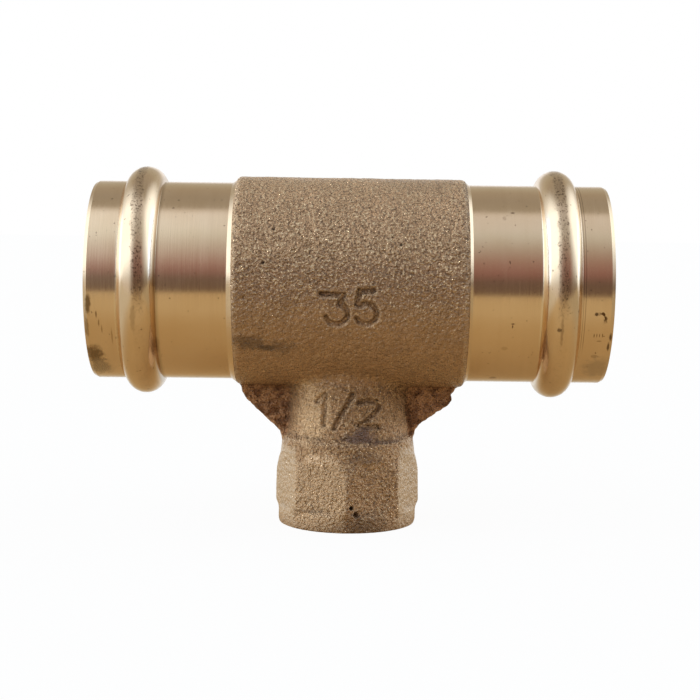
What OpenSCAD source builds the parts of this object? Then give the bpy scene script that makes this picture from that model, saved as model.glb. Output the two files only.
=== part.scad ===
// Press tee with a threaded branch. One gunmetal casting carries a press socket
// at each end of the run and a female pipe thread at the foot of the branch.
// A rubber sealing ring lies in the bead of each socket.
//
// Millimetres, +Z up. The run lies along X and the branch hangs along -Z.
// The origin is where the run axis crosses the branch axis.

/* [Run] */
// Length of the run from mouth to mouth
run_length = 99; // [94:1:130]
// Diameter of the waterway between the two tube stops
run_bore_d = 32; // [24:0.5:33]
// Length of the cast barrel with its turned shoulders
barrel_length = 45.8; // [43:0.2:64]
// Height of the barrel above the turned sockets
shoulder_rise = 1.15; // [0.6:0.05:3]

/* [Press sockets] */
// Outside diameter of the tube that goes in
tube_d = 35; // [34:0.5:42]
// Play between the tube and the socket, on the diameter
tube_play = 0.3; // [0.1:0.05:0.6]
// Wall of the socket
socket_wall = 1.6; // [1.2:0.1:2.4]
// Depth from the mouth to the tube stop
insertion_depth = 26; // [20:0.5:32]
// Chamfer inside the mouth that leads the tube in
lead_in = 0.5; // [0.2:0.1:0.9]
// Chamfer round the outside of the mouth
mouth_edge = 0.35; // [0.1:0.05:0.6]

/* [Beads and sealing rings] */
// Distance from the mouth to the middle of the bead
bead_setback = 9.8; // [7:0.1:14]
// Wall of the bead over the sealing ring
bead_wall = 1.6; // [1.2:0.1:2.4]
// Thickness of the sealing ring's cord
seal_d = 3.1; // [2.4:0.1:4]
// How far the sealing ring stands into the bore
seal_reach = 0.2; // [0.05:0.05:0.25]
// Gap between the sealing ring and the crest of its groove
seal_play = 0.05; // [0.02:0.01:0.15]
// Room beside the sealing ring in its groove, on each side
seal_side_room = 0.55; // [0.4:0.05:1.5]

/* [Branch] */
// Distance from the run axis to the branch face
branch_reach = 47.5; // [45:0.5:70]
// Diameter of the waterway in the neck
branch_bore_d = 15; // [8:0.5:17]
// Diameter of the neck under the barrel
neck_d = 22.6; // [21:0.2:25]
// Flare of the neck where it meets the bell, on the radius
neck_flare = 0.9; // [0.2:0.1:1.2]
// Length of the neck's flare
neck_flare_length = 7; // [3:0.5:9]
// Flare of the saddle where the neck leaves the barrel, on the radius
saddle_flare = 2; // [0.5:0.1:3]
// Height of the bell's cone above the flats
bell_height = 4.3; // [3:0.1:6]
// Taper of the bell's cone, on the radius
bell_draft = 0.45; // [0.1:0.05:1]
// Length of the spanner flats
flat_length = 9.4; // [6:0.1:12]
// Depth of the spanner flats below the collar
flat_depth = 0.43; // [0.2:0.01:0.8]
// How much of each corner between two flats is rounded away
corner_blunt = 0.12; // [0.05:0.01:0.3]
// Height of the round collar below the flats
collar_height = 3.8; // [2:0.1:6]
// Wall of the collar outside the thread
collar_wall = 3; // [2.2:0.1:5]
// Round edge of the branch face, on the radius
rim_edge = 0.4; // [0.1:0.05:0.8]

/* [Branch thread] */
// Major diameter of the pipe thread, G 1/2
thread_major_d = 20.955; // [20:0.005:23]
// Core diameter of the pipe thread, G 1/2
thread_core_d = 18.631; // [17.5:0.001:19.5]
// Depth of the threaded pocket
thread_depth = 15; // [10:0.5:16.5]
// Room of the entry chamfer outside the major diameter, on the radius
entry_room = 0.3; // [0.1:0.05:0.6]

/* [Webs] */
// Thickness of the web on each side of the neck
web_t = 4; // [2.5:0.1:8]
// Distance from the branch axis to the outer end of the web
web_reach = 21.3; // [17:0.1:21.5]
// Depth of the web's outer end below the barrel
web_heel = 3; // [1.5:0.1:5]
// Lean of the web's outer end
web_lean = 1.1; // [0:0.1:2]
// How far the foot of the web stands out from the bell
web_toe = 0.9; // [0.3:0.1:2]

/* [Hidden] */
$fn = 96;

gunmetal = [0.62, 0.49, 0.33];
rubber_black = [0.06, 0.06, 0.065];
LEFT = -1;
RIGHT = 1;
over = 1;          // how far a cutter runs past the face it opens
flats = 8;         // spanner flats round the branch
slope_in = 6;      // run of the slope up to a corner, for each mm it rises
slope_out = 1.5;   // run of the slope from a corner to the collar, for each mm
saddle_slope = 2.5; // height of the saddle's flare, for each mm of its width

// Run
run_half = run_length / 2;
run_bore_r = run_bore_d / 2;
socket_bore_r = (tube_d + tube_play) / 2;
socket_r = socket_bore_r + socket_wall;
barrel_r = socket_r + shoulder_rise;
barrel_half = barrel_length / 2;
stop_x = run_half - insertion_depth;
bead_x = run_half - bead_setback;

// The ring sets the groove, and the groove sets the bead
seal_r = seal_d / 2;
seal_ring_r = socket_bore_r - seal_reach + seal_r;
groove_r = seal_r + seal_side_room;
groove_ring_r = seal_ring_r + seal_r + seal_play - groove_r;
bead_r = groove_r + bead_wall;

// Branch, as distances below the run axis and radii round the branch axis
thread_core_r = thread_core_d / 2;
entry_r = thread_major_d / 2 + entry_room;
entry_height = entry_r - thread_core_r;
collar_r = thread_major_d / 2 + collar_wall;
neck_r = neck_d / 2;
neck_foot_r = neck_r + neck_flare;
flat_r = collar_r - flat_depth;
corner_r = flat_r / cos(180 / flats);
corner_tip_r = corner_r - corner_blunt;
core_r = flat_r - flat_depth;      // round core inside the flats
bell_top_r = collar_r - bell_draft;
collar_top = branch_reach - collar_height;
flats_top = collar_top - flat_length;
bell_top = flats_top - bell_height;
flare_top = bell_top - neck_flare_length;
corner_rise = corner_tip_r - collar_r;
corner_head = flats_top + slope_in * corner_rise;
corner_foot = collar_top - slope_out * corner_rise;
flats_foot = collar_top + slope_out * corner_rise; // hidden inside the collar
saddle_top = sqrt(pow(barrel_r, 2) - pow(neck_r + saddle_flare, 2));
saddle_foot = saddle_top + saddle_slope * saddle_flare;

// A child drawn along +Z, turned to point out of one end of the run
module along_run(side) {
    rotate([0, side * 90, 0])
        children();
}

// A child drawn along +Z, turned to hang below the run axis
module along_branch() {
    mirror([0, 0, 1])
        children();
}

module round_ring(ring_r, section_r) {
    rotate_extrude()
        translate([ring_r, 0])
            circle(r = section_r);
}

module frustum(from, to, from_r, to_r) {
    translate([0, 0, from])
        cylinder(h = to - from, r1 = from_r, r2 = to_r);
}

// Half of the cast barrel, with the shoulder turned down to the socket
module half_barrel(side) {
    along_run(side) {
        frustum(0, barrel_half - shoulder_rise, barrel_r, barrel_r);
        frustum(barrel_half - shoulder_rise, barrel_half, barrel_r, socket_r);
    }
}

// Outside of one press socket: sleeve, mouth chamfer and bead
module socket_outside(side) {
    along_run(side) {
        frustum(0, run_half - mouth_edge, socket_r, socket_r);
        frustum(run_half - mouth_edge, run_half, socket_r, socket_r - mouth_edge);
        translate([0, 0, bead_x])
            round_ring(groove_ring_r, bead_r);
    }
}

// Inside of one press socket: bore down to the tube stop, lead-in and groove
module socket_inside(side) {
    along_run(side) {
        frustum(stop_x, run_half + over, socket_bore_r, socket_bore_r);
        frustum(run_half - lead_in, run_half + over, socket_bore_r, socket_bore_r + lead_in + over);
        translate([0, 0, bead_x])
            round_ring(groove_ring_r, groove_r);
    }
}

// Neck, bell, core and collar in one turning round the branch axis
module branch_turning() {
    along_branch()
        rotate_extrude()
            polygon([
                [0, 0],
                [neck_r, 0],
                [neck_r, flare_top],
                [neck_foot_r, bell_top],
                [bell_top_r, bell_top],
                [collar_r, flats_top],
                [core_r, flats_top],
                [core_r, collar_top],
                [collar_r, collar_top],
                [collar_r, branch_reach - rim_edge],
                [collar_r - rim_edge, branch_reach],
                [0, branch_reach]
            ]);
}

// Flare where the neck leaves the barrel
module saddle() {
    along_branch()
        frustum(saddle_top, saddle_foot, neck_r + saddle_flare, neck_r);
}

// Eight spanner flats whose corners stand proud of the collar
module spanner_flats() {
    along_branch()
        intersection() {
            translate([0, 0, flats_top])
                cylinder(h = flats_foot - flats_top, r = corner_r, $fn = flats);
            rotate_extrude()
                polygon([
                    [0, flats_top],
                    [collar_r, flats_top],
                    [corner_tip_r, corner_head],
                    [corner_tip_r, corner_foot],
                    [collar_r, collar_top],
                    [collar_r, flats_foot],
                    [0, flats_foot]
                ]);
        }
}

// Flat web in the plane of both axes, from the barrel down to the bell
module web(side) {
    inside = barrel_r - shoulder_rise;
    rotate([90, 0, 0])
        linear_extrude(height = web_t, center = true)
            polygon([
                [0, -inside],
                [side * web_reach, -inside],
                [side * web_reach, -barrel_r],
                [side * (web_reach - web_lean), -barrel_r - web_heel],
                [side * (bell_top_r + web_toe), -bell_top + web_toe],
                [side * bell_top_r, -bell_top - web_toe],
                [0, -bell_top - web_toe]
            ]);
}

// Waterways of the run and the branch
module waterways() {
    along_run(RIGHT)
        frustum(-stop_x - over, stop_x + over, run_bore_r, run_bore_r);
    along_branch()
        frustum(0, branch_reach, branch_bore_d / 2, branch_bore_d / 2);
}

// Core of the branch thread with its entry chamfer
module thread_core() {
    along_branch() {
        frustum(branch_reach - thread_depth, branch_reach + over, thread_core_r, thread_core_r);
        frustum(branch_reach - entry_height, branch_reach + over, thread_core_r, entry_r + over);
    }
}

module tee_body() {
    color(gunmetal)
        difference() {
            union() {
                for (side = [LEFT, RIGHT]) {
                    half_barrel(side);
                    socket_outside(side);
                    web(side);
                }
                branch_turning();
                saddle();
                spanner_flats();
            }
            for (side = [LEFT, RIGHT])
                socket_inside(side);
            waterways();
            thread_core();
        }
}

module seal(side) {
    color(rubber_black)
        along_run(side)
            translate([0, 0, bead_x])
                round_ring(seal_ring_r, seal_r);
}

module left_seal() {
    seal(LEFT);
}

module right_seal() {
    seal(RIGHT);
}

tee_body();
left_seal();
right_seal();
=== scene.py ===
"""Press tee: one gunmetal casting and two rubber rings.

The casting has a turned press socket at each end of its run and a threaded branch below.
Lengths are millimetres in the part's own frame, unless a comment says metres:
X along the run, -Z out of the branch, -Y to the front.
"""

import math

import bmesh
import bpy
import numpy as np
from mathutils import Matrix, Vector, noise


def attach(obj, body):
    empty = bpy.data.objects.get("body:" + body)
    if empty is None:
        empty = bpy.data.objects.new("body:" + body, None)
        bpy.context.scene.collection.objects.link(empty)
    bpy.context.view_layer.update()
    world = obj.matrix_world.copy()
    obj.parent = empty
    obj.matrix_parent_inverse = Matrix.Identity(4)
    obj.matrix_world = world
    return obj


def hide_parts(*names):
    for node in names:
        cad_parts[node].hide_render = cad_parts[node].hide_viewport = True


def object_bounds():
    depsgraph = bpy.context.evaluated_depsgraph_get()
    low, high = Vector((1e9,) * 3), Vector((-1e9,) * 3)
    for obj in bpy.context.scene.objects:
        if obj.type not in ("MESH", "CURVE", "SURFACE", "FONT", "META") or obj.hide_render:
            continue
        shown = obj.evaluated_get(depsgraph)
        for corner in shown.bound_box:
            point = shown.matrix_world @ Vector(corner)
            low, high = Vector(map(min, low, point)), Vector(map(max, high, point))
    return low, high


MM = 0.001
LEFT = -1
RIGHT = 1
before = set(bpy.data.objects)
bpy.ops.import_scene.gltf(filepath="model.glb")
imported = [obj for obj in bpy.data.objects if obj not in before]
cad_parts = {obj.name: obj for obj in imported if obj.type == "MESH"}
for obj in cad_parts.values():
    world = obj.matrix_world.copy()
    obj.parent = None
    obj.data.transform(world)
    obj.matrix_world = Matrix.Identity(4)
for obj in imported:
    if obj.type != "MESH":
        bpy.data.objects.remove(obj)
cad_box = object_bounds()

# ---------------------------------------------------------------- sizes

# From the frame
RUN_HALF = round(cad_box[1][0] / MM, 2)
BEAD_CREST_R = round(cad_box[1][2] / MM, 2)
BRANCH_FACE = round(-cad_box[0][2] / MM, 2)

# Barrel, from the middle of the run out to the shoulders
BARREL_R = 20.36
BARREL_LIFT = 0.01
BARREL_LEAN = -0.0043  # rise of the barrel's axis for each mm to the right
SKIN_END = {LEFT: 21.98, RIGHT: 22.4}  # where the turning of the shoulder begins
SHOULDER_FOOT = {LEFT: 22.88, RIGHT: 23.1}
SHOULDER_SLOPE = 0.745
SKIN_CELL = 0.4

# Press sockets
SOCKET_BORE_R = 17.65
SOCKET_WALL = 1.6
SOCKET_R = SOCKET_BORE_R + SOCKET_WALL
MOUTH_R = {LEFT: SOCKET_R + 0.07, RIGHT: SOCKET_R}
MOUTH_EDGE = 0.3
MOUTH_EDGE_LENGTH = 0.66
LEAD_IN = 0.5
SLEEVE_START = 15.0
CONE_UNDERLAP = 0.15  # how far the shoulder's cone runs on under the skin
RUN_BORE_R = 16.0
STOP_X = RUN_HALF - 26.0
STOP_EDGE = 0.3

# Beads and the grooves inside them
BEAD_X = RUN_HALF - 9.8
BEAD_R = 3.7
BEAD_RING_R = BEAD_CREST_R - BEAD_R
BEAD_FOOT = 0.14
GROOVE_R = BEAD_R - SOCKET_WALL

# Branch
NECK_R = 11.3
COLLAR_R = 13.62
BRANCH_BORE_R = 7.5
THREAD_MAJOR_R = 10.4775
THREAD_CORE_R = 9.3155
THREAD_PITCH = 1.814
THREAD_TOP = BRANCH_FACE - 15.0
THREAD_RINGS = 66
ENTRY_R = 10.78
RUN_OVER = 1.0  # how far a cutter runs past the mouth it opens
BRANCH_OVER = 0.6
FACING_R = 17.0
FACING_DEPTH = 4.0

# ---------------------------------------------------------------- mesh helpers


def new_object(name, bm, smooth=True):
    """Closes a bmesh into an object at the origin, with doubles merged and faces outward."""
    bmesh.ops.remove_doubles(bm, verts=bm.verts, dist=1e-7)
    bmesh.ops.recalc_face_normals(bm, faces=bm.faces)
    mesh = bpy.data.meshes.new(name)
    bm.to_mesh(mesh)
    bm.free()
    for p in mesh.polygons:
        p.use_smooth = smooth
    obj = bpy.data.objects.new(name, mesh)
    bpy.context.scene.collection.objects.link(obj)
    return obj


def turned(name, line, axis, steps):
    """Turns a line of (along, radius) points round X, or round Z with along pointing down the branch."""
    if axis == "X":
        places = [Vector((a, 0, r)) * MM for a, r in line]
        spindle = Vector((1, 0, 0))
    else:
        places = [Vector((r, 0, -a)) * MM for a, r in line]
        spindle = Vector((0, 0, 1))
    bm = bmesh.new()
    verts = [bm.verts.new(p) for p in places]
    edges = [bm.edges.new(pair) for pair in zip(verts, verts[1:])]
    bmesh.ops.spin(
        bm,
        geom=verts + edges,
        cent=(0, 0, 0),
        axis=spindle,
        angle=math.tau,
        steps=steps,
        use_merge=True,
        use_duplicate=False,
    )
    return new_object(name, bm)


def arc(along, out, radius, start, end, count):
    """Points of an arc in (along, radius), angles in degrees from the along axis."""
    points = []
    for i in range(count + 1):
        a = math.radians(start + (end - start) * i / count)
        points.append((along + radius * math.cos(a), out + radius * math.sin(a)))
    return points


def bake(obj):
    """Replaces the object's mesh with what its modifiers make of it."""
    graph = bpy.context.evaluated_depsgraph_get()
    graph.update()
    mesh = bpy.data.meshes.new_from_object(obj.evaluated_get(graph))
    obj.modifiers.clear()
    old = obj.data
    obj.data = mesh
    bpy.data.meshes.remove(old)
    return obj


def combine(obj, other, how):
    """Adds or cuts another closed solid, which is used up. Each keeps its own material on its faces."""
    mod = obj.modifiers.new("combine", "BOOLEAN")
    mod.operation = how
    mod.solver = "MANIFOLD"
    mod.material_mode = "TRANSFER"
    mod.object = other
    bake(obj)
    bpy.data.objects.remove(other)


def coordinates(mesh):
    """Every point of the mesh, in millimetres."""
    co = np.empty(len(mesh.vertices) * 3, np.float32)
    mesh.vertices.foreach_get("co", co)
    return co.reshape(-1, 3).astype(float) / MM


def store(mesh, co):
    """Puts the points back, from millimetres."""
    mesh.vertices.foreach_set("co", (co * MM).astype(np.float32).ravel())
    mesh.update()


def vertex_normals(mesh):
    """The outward direction at every point."""
    n = np.empty(len(mesh.vertices) * 3, np.float32)
    mesh.vertex_normals.foreach_get("vector", n)
    return n.reshape(-1, 3).astype(float)


def step(low, high, value):
    """A smooth rise from 0 at low to 1 at high."""
    t = np.clip((value - low) / (high - low), 0, 1)
    return t * t * (3 - 2 * t)


def field(co, size, seed):
    """Perlin noise of that feature size at every point, about -1 to 1."""
    shift = Vector((seed * 17.3, seed * 5.1, seed * 9.7))
    return np.array([noise.noise(Vector(p) / size + shift) for p in co])


def line_distance(u, v, stroke):
    """Distance from each (u, v) to a polyline."""
    best = np.full(len(u), 1e9)
    for (u0, v0), (u1, v1) in zip(stroke, stroke[1:]):
        du, dv = u1 - u0, v1 - v0
        t = np.clip(((u - u0) * du + (v - v0) * dv) / (du * du + dv * dv), 0, 1)
        best = np.minimum(best, np.hypot(u - u0 - t * du, v - v0 - t * dv))
    return best


# ---------------------------------------------------------------- the rough casting

# Outer edge of each web beside the neck, as (x, z), ragged as the mould left it
WEB_EDGE = {
    LEFT: [
        (-21.1, -18.5), (-21.15, -20.3), (-21.0, -21.6), (-20.3, -22.9), (-18.6, -24.7),
        (-16.7, -26.5), (-15.2, -27.8), (-13.8, -29.0), (-13.3, -29.9), (-12.9, -31.4),
    ],
    RIGHT: [
        (21.1, -18.5), (21.12, -20.4), (20.9, -21.1), (20.2, -21.9), (20.6, -22.5), (20.5, -23.2),
        (19.7, -24.0), (18.3, -25.0), (16.7, -26.0), (14.1, -27.9), (13.2, -29.4), (12.8, -31.3),
    ],
}
WEB_ROOT = [(0, -31.4), (0, -18.5)]
WEB_FRONT = -2.05

# Neck, bell, the round core inside the flats, and the collar, as (depth, radius)
BRANCH_LINE = [
    (0, 0),
    (0, 11.15),
    (16, 11.25),
    (21, 11.35),
    (24, 11.5),
    (26.5, 11.75),
    (28.4, 12.05),
    (29.5, 12.15),
    (29.9, 12.15),
    (30.3, 12.82),
    (31.2, 13.0),
    (32.6, 13.18),
    (33.7, 13.3),
    (34.3, 13.2),
    (35.2, 12.9),
    (36.2, 12.7),
    (43.2, 12.7),
    (43.9, 13.0),
    (44.3, COLLAR_R),
    (47.0, COLLAR_R),
    (47.4, 13.5),
    (48.2, 13.1),
    (48.2, 0),
]
# The lathe cut that rounds off both ends of the corners between the flats
CORNER_LINE = [
    (33.2, 0),
    (33.2, 12.5),
    (34.3, 13.5),
    (36.5, 13.98),
    (38.5, 14.2),
    (43.1, 14.35),
    (44.5, 13.6),
    (45.2, 12.6),
    (45.2, 0),
]
# The prism of flats, which widens a little towards its foot
FLAT_COUNT = 8
FLATS_MIDDLE = 39.8
FLATS_LENGTH = 11.8
FLATS_HEAD_R = 12.98
FLATS_FOOT_R = 13.22

# Where the neck and the roots of the webs meet the barrel, and its smoothing as (reach, times)
SADDLE_TOP = -9.0
SADDLE_FOOT = -31.0
SADDLE_HALF = 12.5
SADDLE_EASING = [(3.2, 5), (2.4, 8), (1.5, 8)]


def barrel():
    """The rough barrel between the two shoulders, with eased ends."""
    ends = [(0.3, 19.3), (0.0, 20.0), (-0.4, 20.32), (-0.9, BARREL_R)]
    left = [(-SKIN_END[LEFT] - a, r) for a, r in ends]
    right = [(SKIN_END[RIGHT] + a, r) for a, r in reversed(ends)]
    obj = turned("barrel", [(left[0][0], 0)] + left + right + [(right[-1][0], 0)], "X", 192)
    co = coordinates(obj.data)
    co[:, 2] += BARREL_LIFT + BARREL_LEAN * co[:, 0]
    store(obj.data, co)
    return obj


def web_plate(side):
    """The flat web on one side of the neck, in the plane of both axes."""
    bm = bmesh.new()
    outline = WEB_EDGE[side] + WEB_ROOT
    face = bm.faces.new([bm.verts.new(Vector((x, WEB_FRONT, z)) * MM) for x, z in outline])
    grown = bmesh.ops.extrude_face_region(bm, geom=[face])
    back = [v for v in grown["geom"] if isinstance(v, bmesh.types.BMVert)]
    bmesh.ops.translate(bm, verts=back, vec=Vector((0, -2 * WEB_FRONT, 0)) * MM)
    return new_object("web", bm)


def spanner_flats():
    """The prism of spanner flats, with its corners cut to a lathe shape."""
    bm = bmesh.new()
    corner = 1.0 / math.cos(math.pi / FLAT_COUNT)
    bmesh.ops.create_cone(
        bm,
        cap_ends=True,
        segments=FLAT_COUNT,
        radius1=corner * FLATS_FOOT_R * MM,
        radius2=corner * FLATS_HEAD_R * MM,
        depth=FLATS_LENGTH * MM,
        matrix=Matrix.Translation(Vector((0, 0, -FLATS_MIDDLE)) * MM),
    )
    flats = new_object("flats", bm, smooth=False)
    combine(flats, turned("corners", CORNER_LINE, "Z", 128), "INTERSECT")
    return flats


def casting_blank():
    """The whole casting before machining, as one skin of even cells."""
    parts = [barrel(), turned("branch", BRANCH_LINE, "Z", 128), spanner_flats()]
    parts += [web_plate(LEFT), web_plate(RIGHT)]
    bm = bmesh.new()
    for part in parts:
        bm.from_mesh(part.data)
        bpy.data.objects.remove(part)
    mesh = bpy.data.meshes.new("casting")
    bm.to_mesh(mesh)
    bm.free()
    obj = bpy.data.objects.new("tee_casting", mesh)
    bpy.context.scene.collection.objects.link(obj)
    mod = obj.modifiers.new("cells", "REMESH")
    mod.mode = "VOXEL"
    mod.voxel_size = SKIN_CELL * MM
    mod.use_smooth_shade = True
    return bake(obj)


def ease(bm, verts, times=1):
    """Smooths these points, which rounds the edges among them."""
    for _ in range(times):
        bmesh.ops.smooth_vert(bm, verts=verts, factor=0.5, use_axis_x=True, use_axis_y=True, use_axis_z=True)


def near_saddle(point, reach):
    """True within reach of the skins of both the neck and the barrel."""
    p = point / MM
    if not SADDLE_FOOT <= p.z <= SADDLE_TOP or abs(p.x) > SADDLE_HALF:
        return False
    neck = math.hypot(p.x, p.y) - NECK_R
    barrel_skin = math.hypot(p.y, p.z - BARREL_LIFT) - BARREL_R
    return max(abs(neck), abs(barrel_skin)) < reach


def soften(obj):
    """Mould fillets: every edge is eased, and the saddle under the barrel is rounded."""
    bm = bmesh.new()
    bm.from_mesh(obj.data)
    ease(bm, bm.verts)
    for reach, times in SADDLE_EASING:
        ease(bm, [v for v in bm.verts if near_saddle(v.co, reach)], times)
    bm.to_mesh(obj.data)
    bm.free()


# Strokes of the plain size numbers, as (across, up) on the skin laid flat
NUMBER_35 = [
    [(-5.2, -1.0), (-0.9, -1.2), (-1.75, -2.9)] + arc(-2.25, -4.8, 2.05, 65, -162, 12),
    [(4.6, -0.35), (2.05, -0.4), (1.5, -2.9)] + arc(3.25, -4.7, 2.0, 130, -150, 14),
]
NUMBER_HALF = [
    [(-6.1, -22.6), (-5.1, -21.5), (-4.45, -21.1), (-4.6, -26.9)],
    [(0.95, -20.9), (-2.6, -27.3)],
    [(2.2, -22.5), (3.9, -22.0), (5.6, -22.4), (6.0, -23.2), (5.6, -24.2), (2.3, -26.9), (6.0, -27.2)],
]
NUMBER_NECK_R = 11.6
NUMBER_NECK_RANGE = (-29.4, -18.5)
NUMBER_BARREL_FROM = -12.0
NUMBER_FRONT = -5.0
FAR = 99.0  # farther than any mark reaches

# A stroke's floor and walls, and the lip that its stamp raised, by the distance from its middle
NUMBER_DEPTH = 0.50
NUMBER_WALL = (0.15, 0.76)
NUMBER_LIP_HEIGHT = 0.06
NUMBER_LIP_AT = 0.85
NUMBER_LIP_WIDTH = 0.25
# How far out from a stroke's middle, and from a pit's edge, the cells are halved
NUMBER_REFINED = 1.25
PIT_REFINED = 0.5

# Casting pits as (centre, radius, depth)
PITS = [
    ((0.8, -13.6, -42.5), 0.62, 0.75),
    ((1.85, -13.5, -43.85), 0.72, 0.85),
    ((-14.2, -17.3, 10.8), 0.38, 0.34),
    ((-16.0, -19.85, 4.65), 0.42, 0.36),
    ((9.6, -18.6, 8.2), 0.36, 0.30),
]

# Noise of the rough skin as (feature size, seed, height)
LUMPS = [(9.0, 1, 0.10), (3.2, 2, 0.05)]
GRIT = [(1.3, 3, 0.045), (0.72, 4, 0.060)]
WEB_SCALE = [(2.1, 6, 0.13)]
NUMBER_RAGGED = [(0.9, 11, 0.10)]

# Where the webs are rougher than the rest, and how much
WEB_FROM = 11.4
WEB_TOP = -19.5
WEB_BOTTOM = -30.5
WEB_DEPTH = 3.0
WEB_GRIT = 2.6
# Where the bell's sides grow smoother, as (starts, full), and how much
BELL_SIDE_ACROSS = (9.7, 10.3)
BELL_SIDE_BELOW = (-31.0, -32.5)
BELL_SIDE_CALM = 0.8


def number_distance(co):
    """How far each front point is from the middle of the nearest stroke."""
    best = np.full(len(co), FAR)
    front = co[:, 1] < NUMBER_FRONT
    on_barrel = front & (co[:, 2] > NUMBER_BARREL_FROM)
    around = BARREL_R * np.arcsin(np.clip((co[:, 2] - BARREL_LIFT) / BARREL_R, -1, 1))
    for stroke in NUMBER_35:
        d = line_distance(co[:, 0], around, stroke)
        best = np.where(on_barrel, np.minimum(best, d), best)
    low, high = NUMBER_NECK_RANGE
    on_neck = front & (co[:, 2] < high) & (co[:, 2] > low)
    along = NUMBER_NECK_R * np.arcsin(np.clip(co[:, 0] / NUMBER_NECK_R, -1, 1))
    for stroke in NUMBER_HALF:
        laid = [(NUMBER_NECK_R * math.asin(x / NUMBER_NECK_R), z) for x, z in stroke]
        d = line_distance(along, co[:, 2], laid)
        best = np.where(on_neck, np.minimum(best, d), best)
    return best


def distance_to(co, centre):
    """How far every point is from the centre."""
    return np.linalg.norm(co - np.array(centre), axis=1)


def refine(obj):
    """Halves the cells at the numbers and the pits, where the relief is finest."""
    bm = bmesh.new()
    bm.from_mesh(obj.data)
    bm.verts.ensure_lookup_table()
    co = np.array([v.co for v in bm.verts], float) / MM
    near = number_distance(co) < NUMBER_REFINED
    for centre, radius, _ in PITS:
        near |= distance_to(co, centre) < radius + PIT_REFINED
    chosen = [e for e in bm.edges if near[e.verts[0].index] and near[e.verts[1].index]]
    bmesh.ops.subdivide_edges(bm, edges=chosen, cuts=1, use_grid_fill=True)
    bm.normal_update()
    bm.to_mesh(obj.data)
    bm.free()
    obj.data.update()


def layered_noise(co, layers):
    """The sum of the (feature size, seed, height) layers at every point."""
    return sum(tall * field(co, size, seed) for size, seed, tall in layers)


def skin_relief(co):
    """Height of the mould's lumps and the shot-blasted grit, calm on the bell's sides and at both ends."""
    x, y, z = np.abs(co[:, 0]), np.abs(co[:, 1]), co[:, 2]
    grit = layered_noise(co, GRIT)
    web = (x > WEB_FROM) & (z < WEB_TOP) & (z > WEB_BOTTOM) & (y < WEB_DEPTH)
    grit = np.where(web, grit * WEB_GRIT + layered_noise(co, WEB_SCALE), grit)
    grit *= 1 - BELL_SIDE_CALM * step(*BELL_SIDE_ACROSS, x) * step(*BELL_SIDE_BELOW, z)
    to_end = np.minimum(co[:, 0] + SKIN_END[LEFT], SKIN_END[RIGHT] - co[:, 0])
    return (layered_noise(co, LUMPS) + grit) * (0.25 + 0.75 * step(0.3, 1.3, to_end))


def carve(obj):
    """Numbers with ragged, raised lips, casting pits and the rough skin, all as real relief."""
    co = coordinates(obj.data)
    normal = vertex_normals(obj.data)
    distance = number_distance(co) + layered_noise(co, NUMBER_RAGGED)
    move = -NUMBER_DEPTH * (1 - step(*NUMBER_WALL, distance))
    move += NUMBER_LIP_HEIGHT * np.exp(-(((distance - NUMBER_LIP_AT) / NUMBER_LIP_WIDTH) ** 2))
    for centre, radius, depth in PITS:
        move -= depth * (1 - step(0.35 * radius, radius, distance_to(co, centre)))
    move += skin_relief(co)
    store(obj.data, co + normal * move[:, None])


# ---------------------------------------------------------------- machining


def sleeve(side):
    """One turned socket from inside the barrel to its mouth, with the shoulder's cone and the bead."""
    rise = SOCKET_R + BEAD_FOOT - BEAD_RING_R
    reach = math.sqrt((BEAD_R + BEAD_FOOT) ** 2 - rise**2)
    lean = math.degrees(math.atan2(rise, reach))
    foot = SHOULDER_FOOT[side]
    cone = foot - SKIN_END[side] + CONE_UNDERLAP
    mouth_r = MOUTH_R[side]
    line = [
        (SLEEVE_START, 0),
        (SLEEVE_START, SOCKET_R),
        (foot - cone - 0.05, SOCKET_R),
        (foot - cone, SOCKET_R + cone * SHOULDER_SLOPE),
        (foot, SOCKET_R),
        (foot + 0.2, SOCKET_R),
        (BEAD_X - reach - 0.25, SOCKET_R),
    ]
    line += arc(BEAD_X - reach, SOCKET_R + BEAD_FOOT, BEAD_FOOT, 270, 360 - lean, 4)
    line += arc(BEAD_X, BEAD_RING_R, BEAD_R, 180 - lean, lean, 30)[1:]
    line += arc(BEAD_X + reach, SOCKET_R + BEAD_FOOT, BEAD_FOOT, 180 + lean, 270, 4)[1:]
    line += [
        (BEAD_X + reach + 0.05, mouth_r),
        (BEAD_X + reach + 0.35, mouth_r),
        (RUN_HALF - MOUTH_EDGE_LENGTH - 0.25, mouth_r),
        (RUN_HALF - MOUTH_EDGE_LENGTH, mouth_r),
        (RUN_HALF, mouth_r - MOUTH_EDGE),
        (RUN_HALF, 0),
    ]
    return turned("sleeve", [(side * a, r) for a, r in line], "X", 176)


def run_cutter():
    """Run bore, tube stops, socket bores, ring grooves and lead-ins as one turned plug."""
    rise = SOCKET_BORE_R - BEAD_RING_R
    half_width = math.sqrt(GROOVE_R**2 - rise**2)
    start = math.degrees(math.atan2(rise, -half_width)) + 360
    end = math.degrees(math.atan2(rise, half_width))
    right = [
        (0, RUN_BORE_R),
        (STOP_X - STOP_EDGE, RUN_BORE_R),
        (STOP_X, RUN_BORE_R + STOP_EDGE),
        (STOP_X, SOCKET_BORE_R),
    ]
    right += arc(BEAD_X, BEAD_RING_R, GROOVE_R, start, end, 16)
    right += [
        (RUN_HALF - LEAD_IN, SOCKET_BORE_R),
        (RUN_HALF + RUN_OVER, SOCKET_BORE_R + LEAD_IN + RUN_OVER),
        (RUN_HALF + RUN_OVER, 0),
    ]
    left = [(-a, r) for a, r in reversed(right[1:])]
    return turned("run_bore", left + right, "X", 112)


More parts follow.
